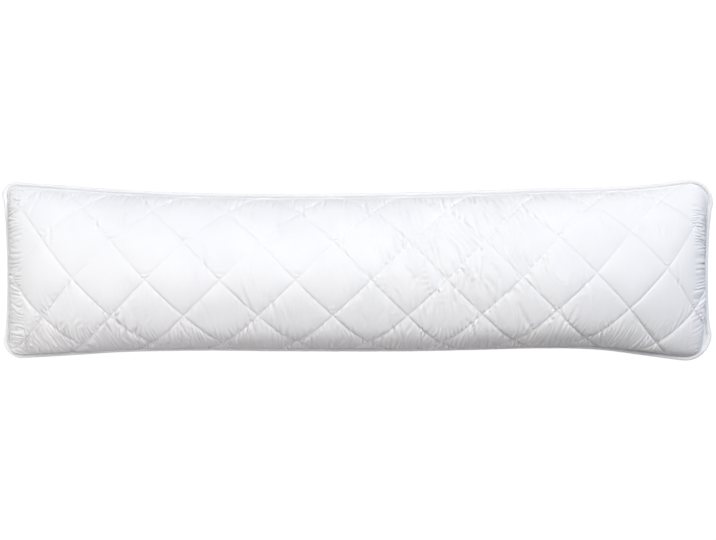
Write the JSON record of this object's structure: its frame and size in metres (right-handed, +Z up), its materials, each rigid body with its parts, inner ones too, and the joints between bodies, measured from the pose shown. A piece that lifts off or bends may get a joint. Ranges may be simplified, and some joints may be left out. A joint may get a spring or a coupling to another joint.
{
  "type": "body pillow",
  "caption": "Long filled body pillow with a diamond-quilted white cotton case, drawn-in sides, rounded corners and piping sewn round the seam.",
  "frame": {"origin": "on the floor under the middle of the outline, the lowest point of the pillow lying on its back", "axes": "+X along the pillow, +Y across it, +Z up out of the front panel"},
  "size_m": [1.46, 0.3724, 0.2302],
  "materials": {
    "quilted_cotton": "soft matt white cotton, diamond quilted with white thread",
    "piping_cotton": "matt white cotton bias strip over a round cord"
  },
  "bodies": {
    "root": {"pillow": "quilted_cotton", "piping": "piping_cotton"}
  },
  "joints": []
}
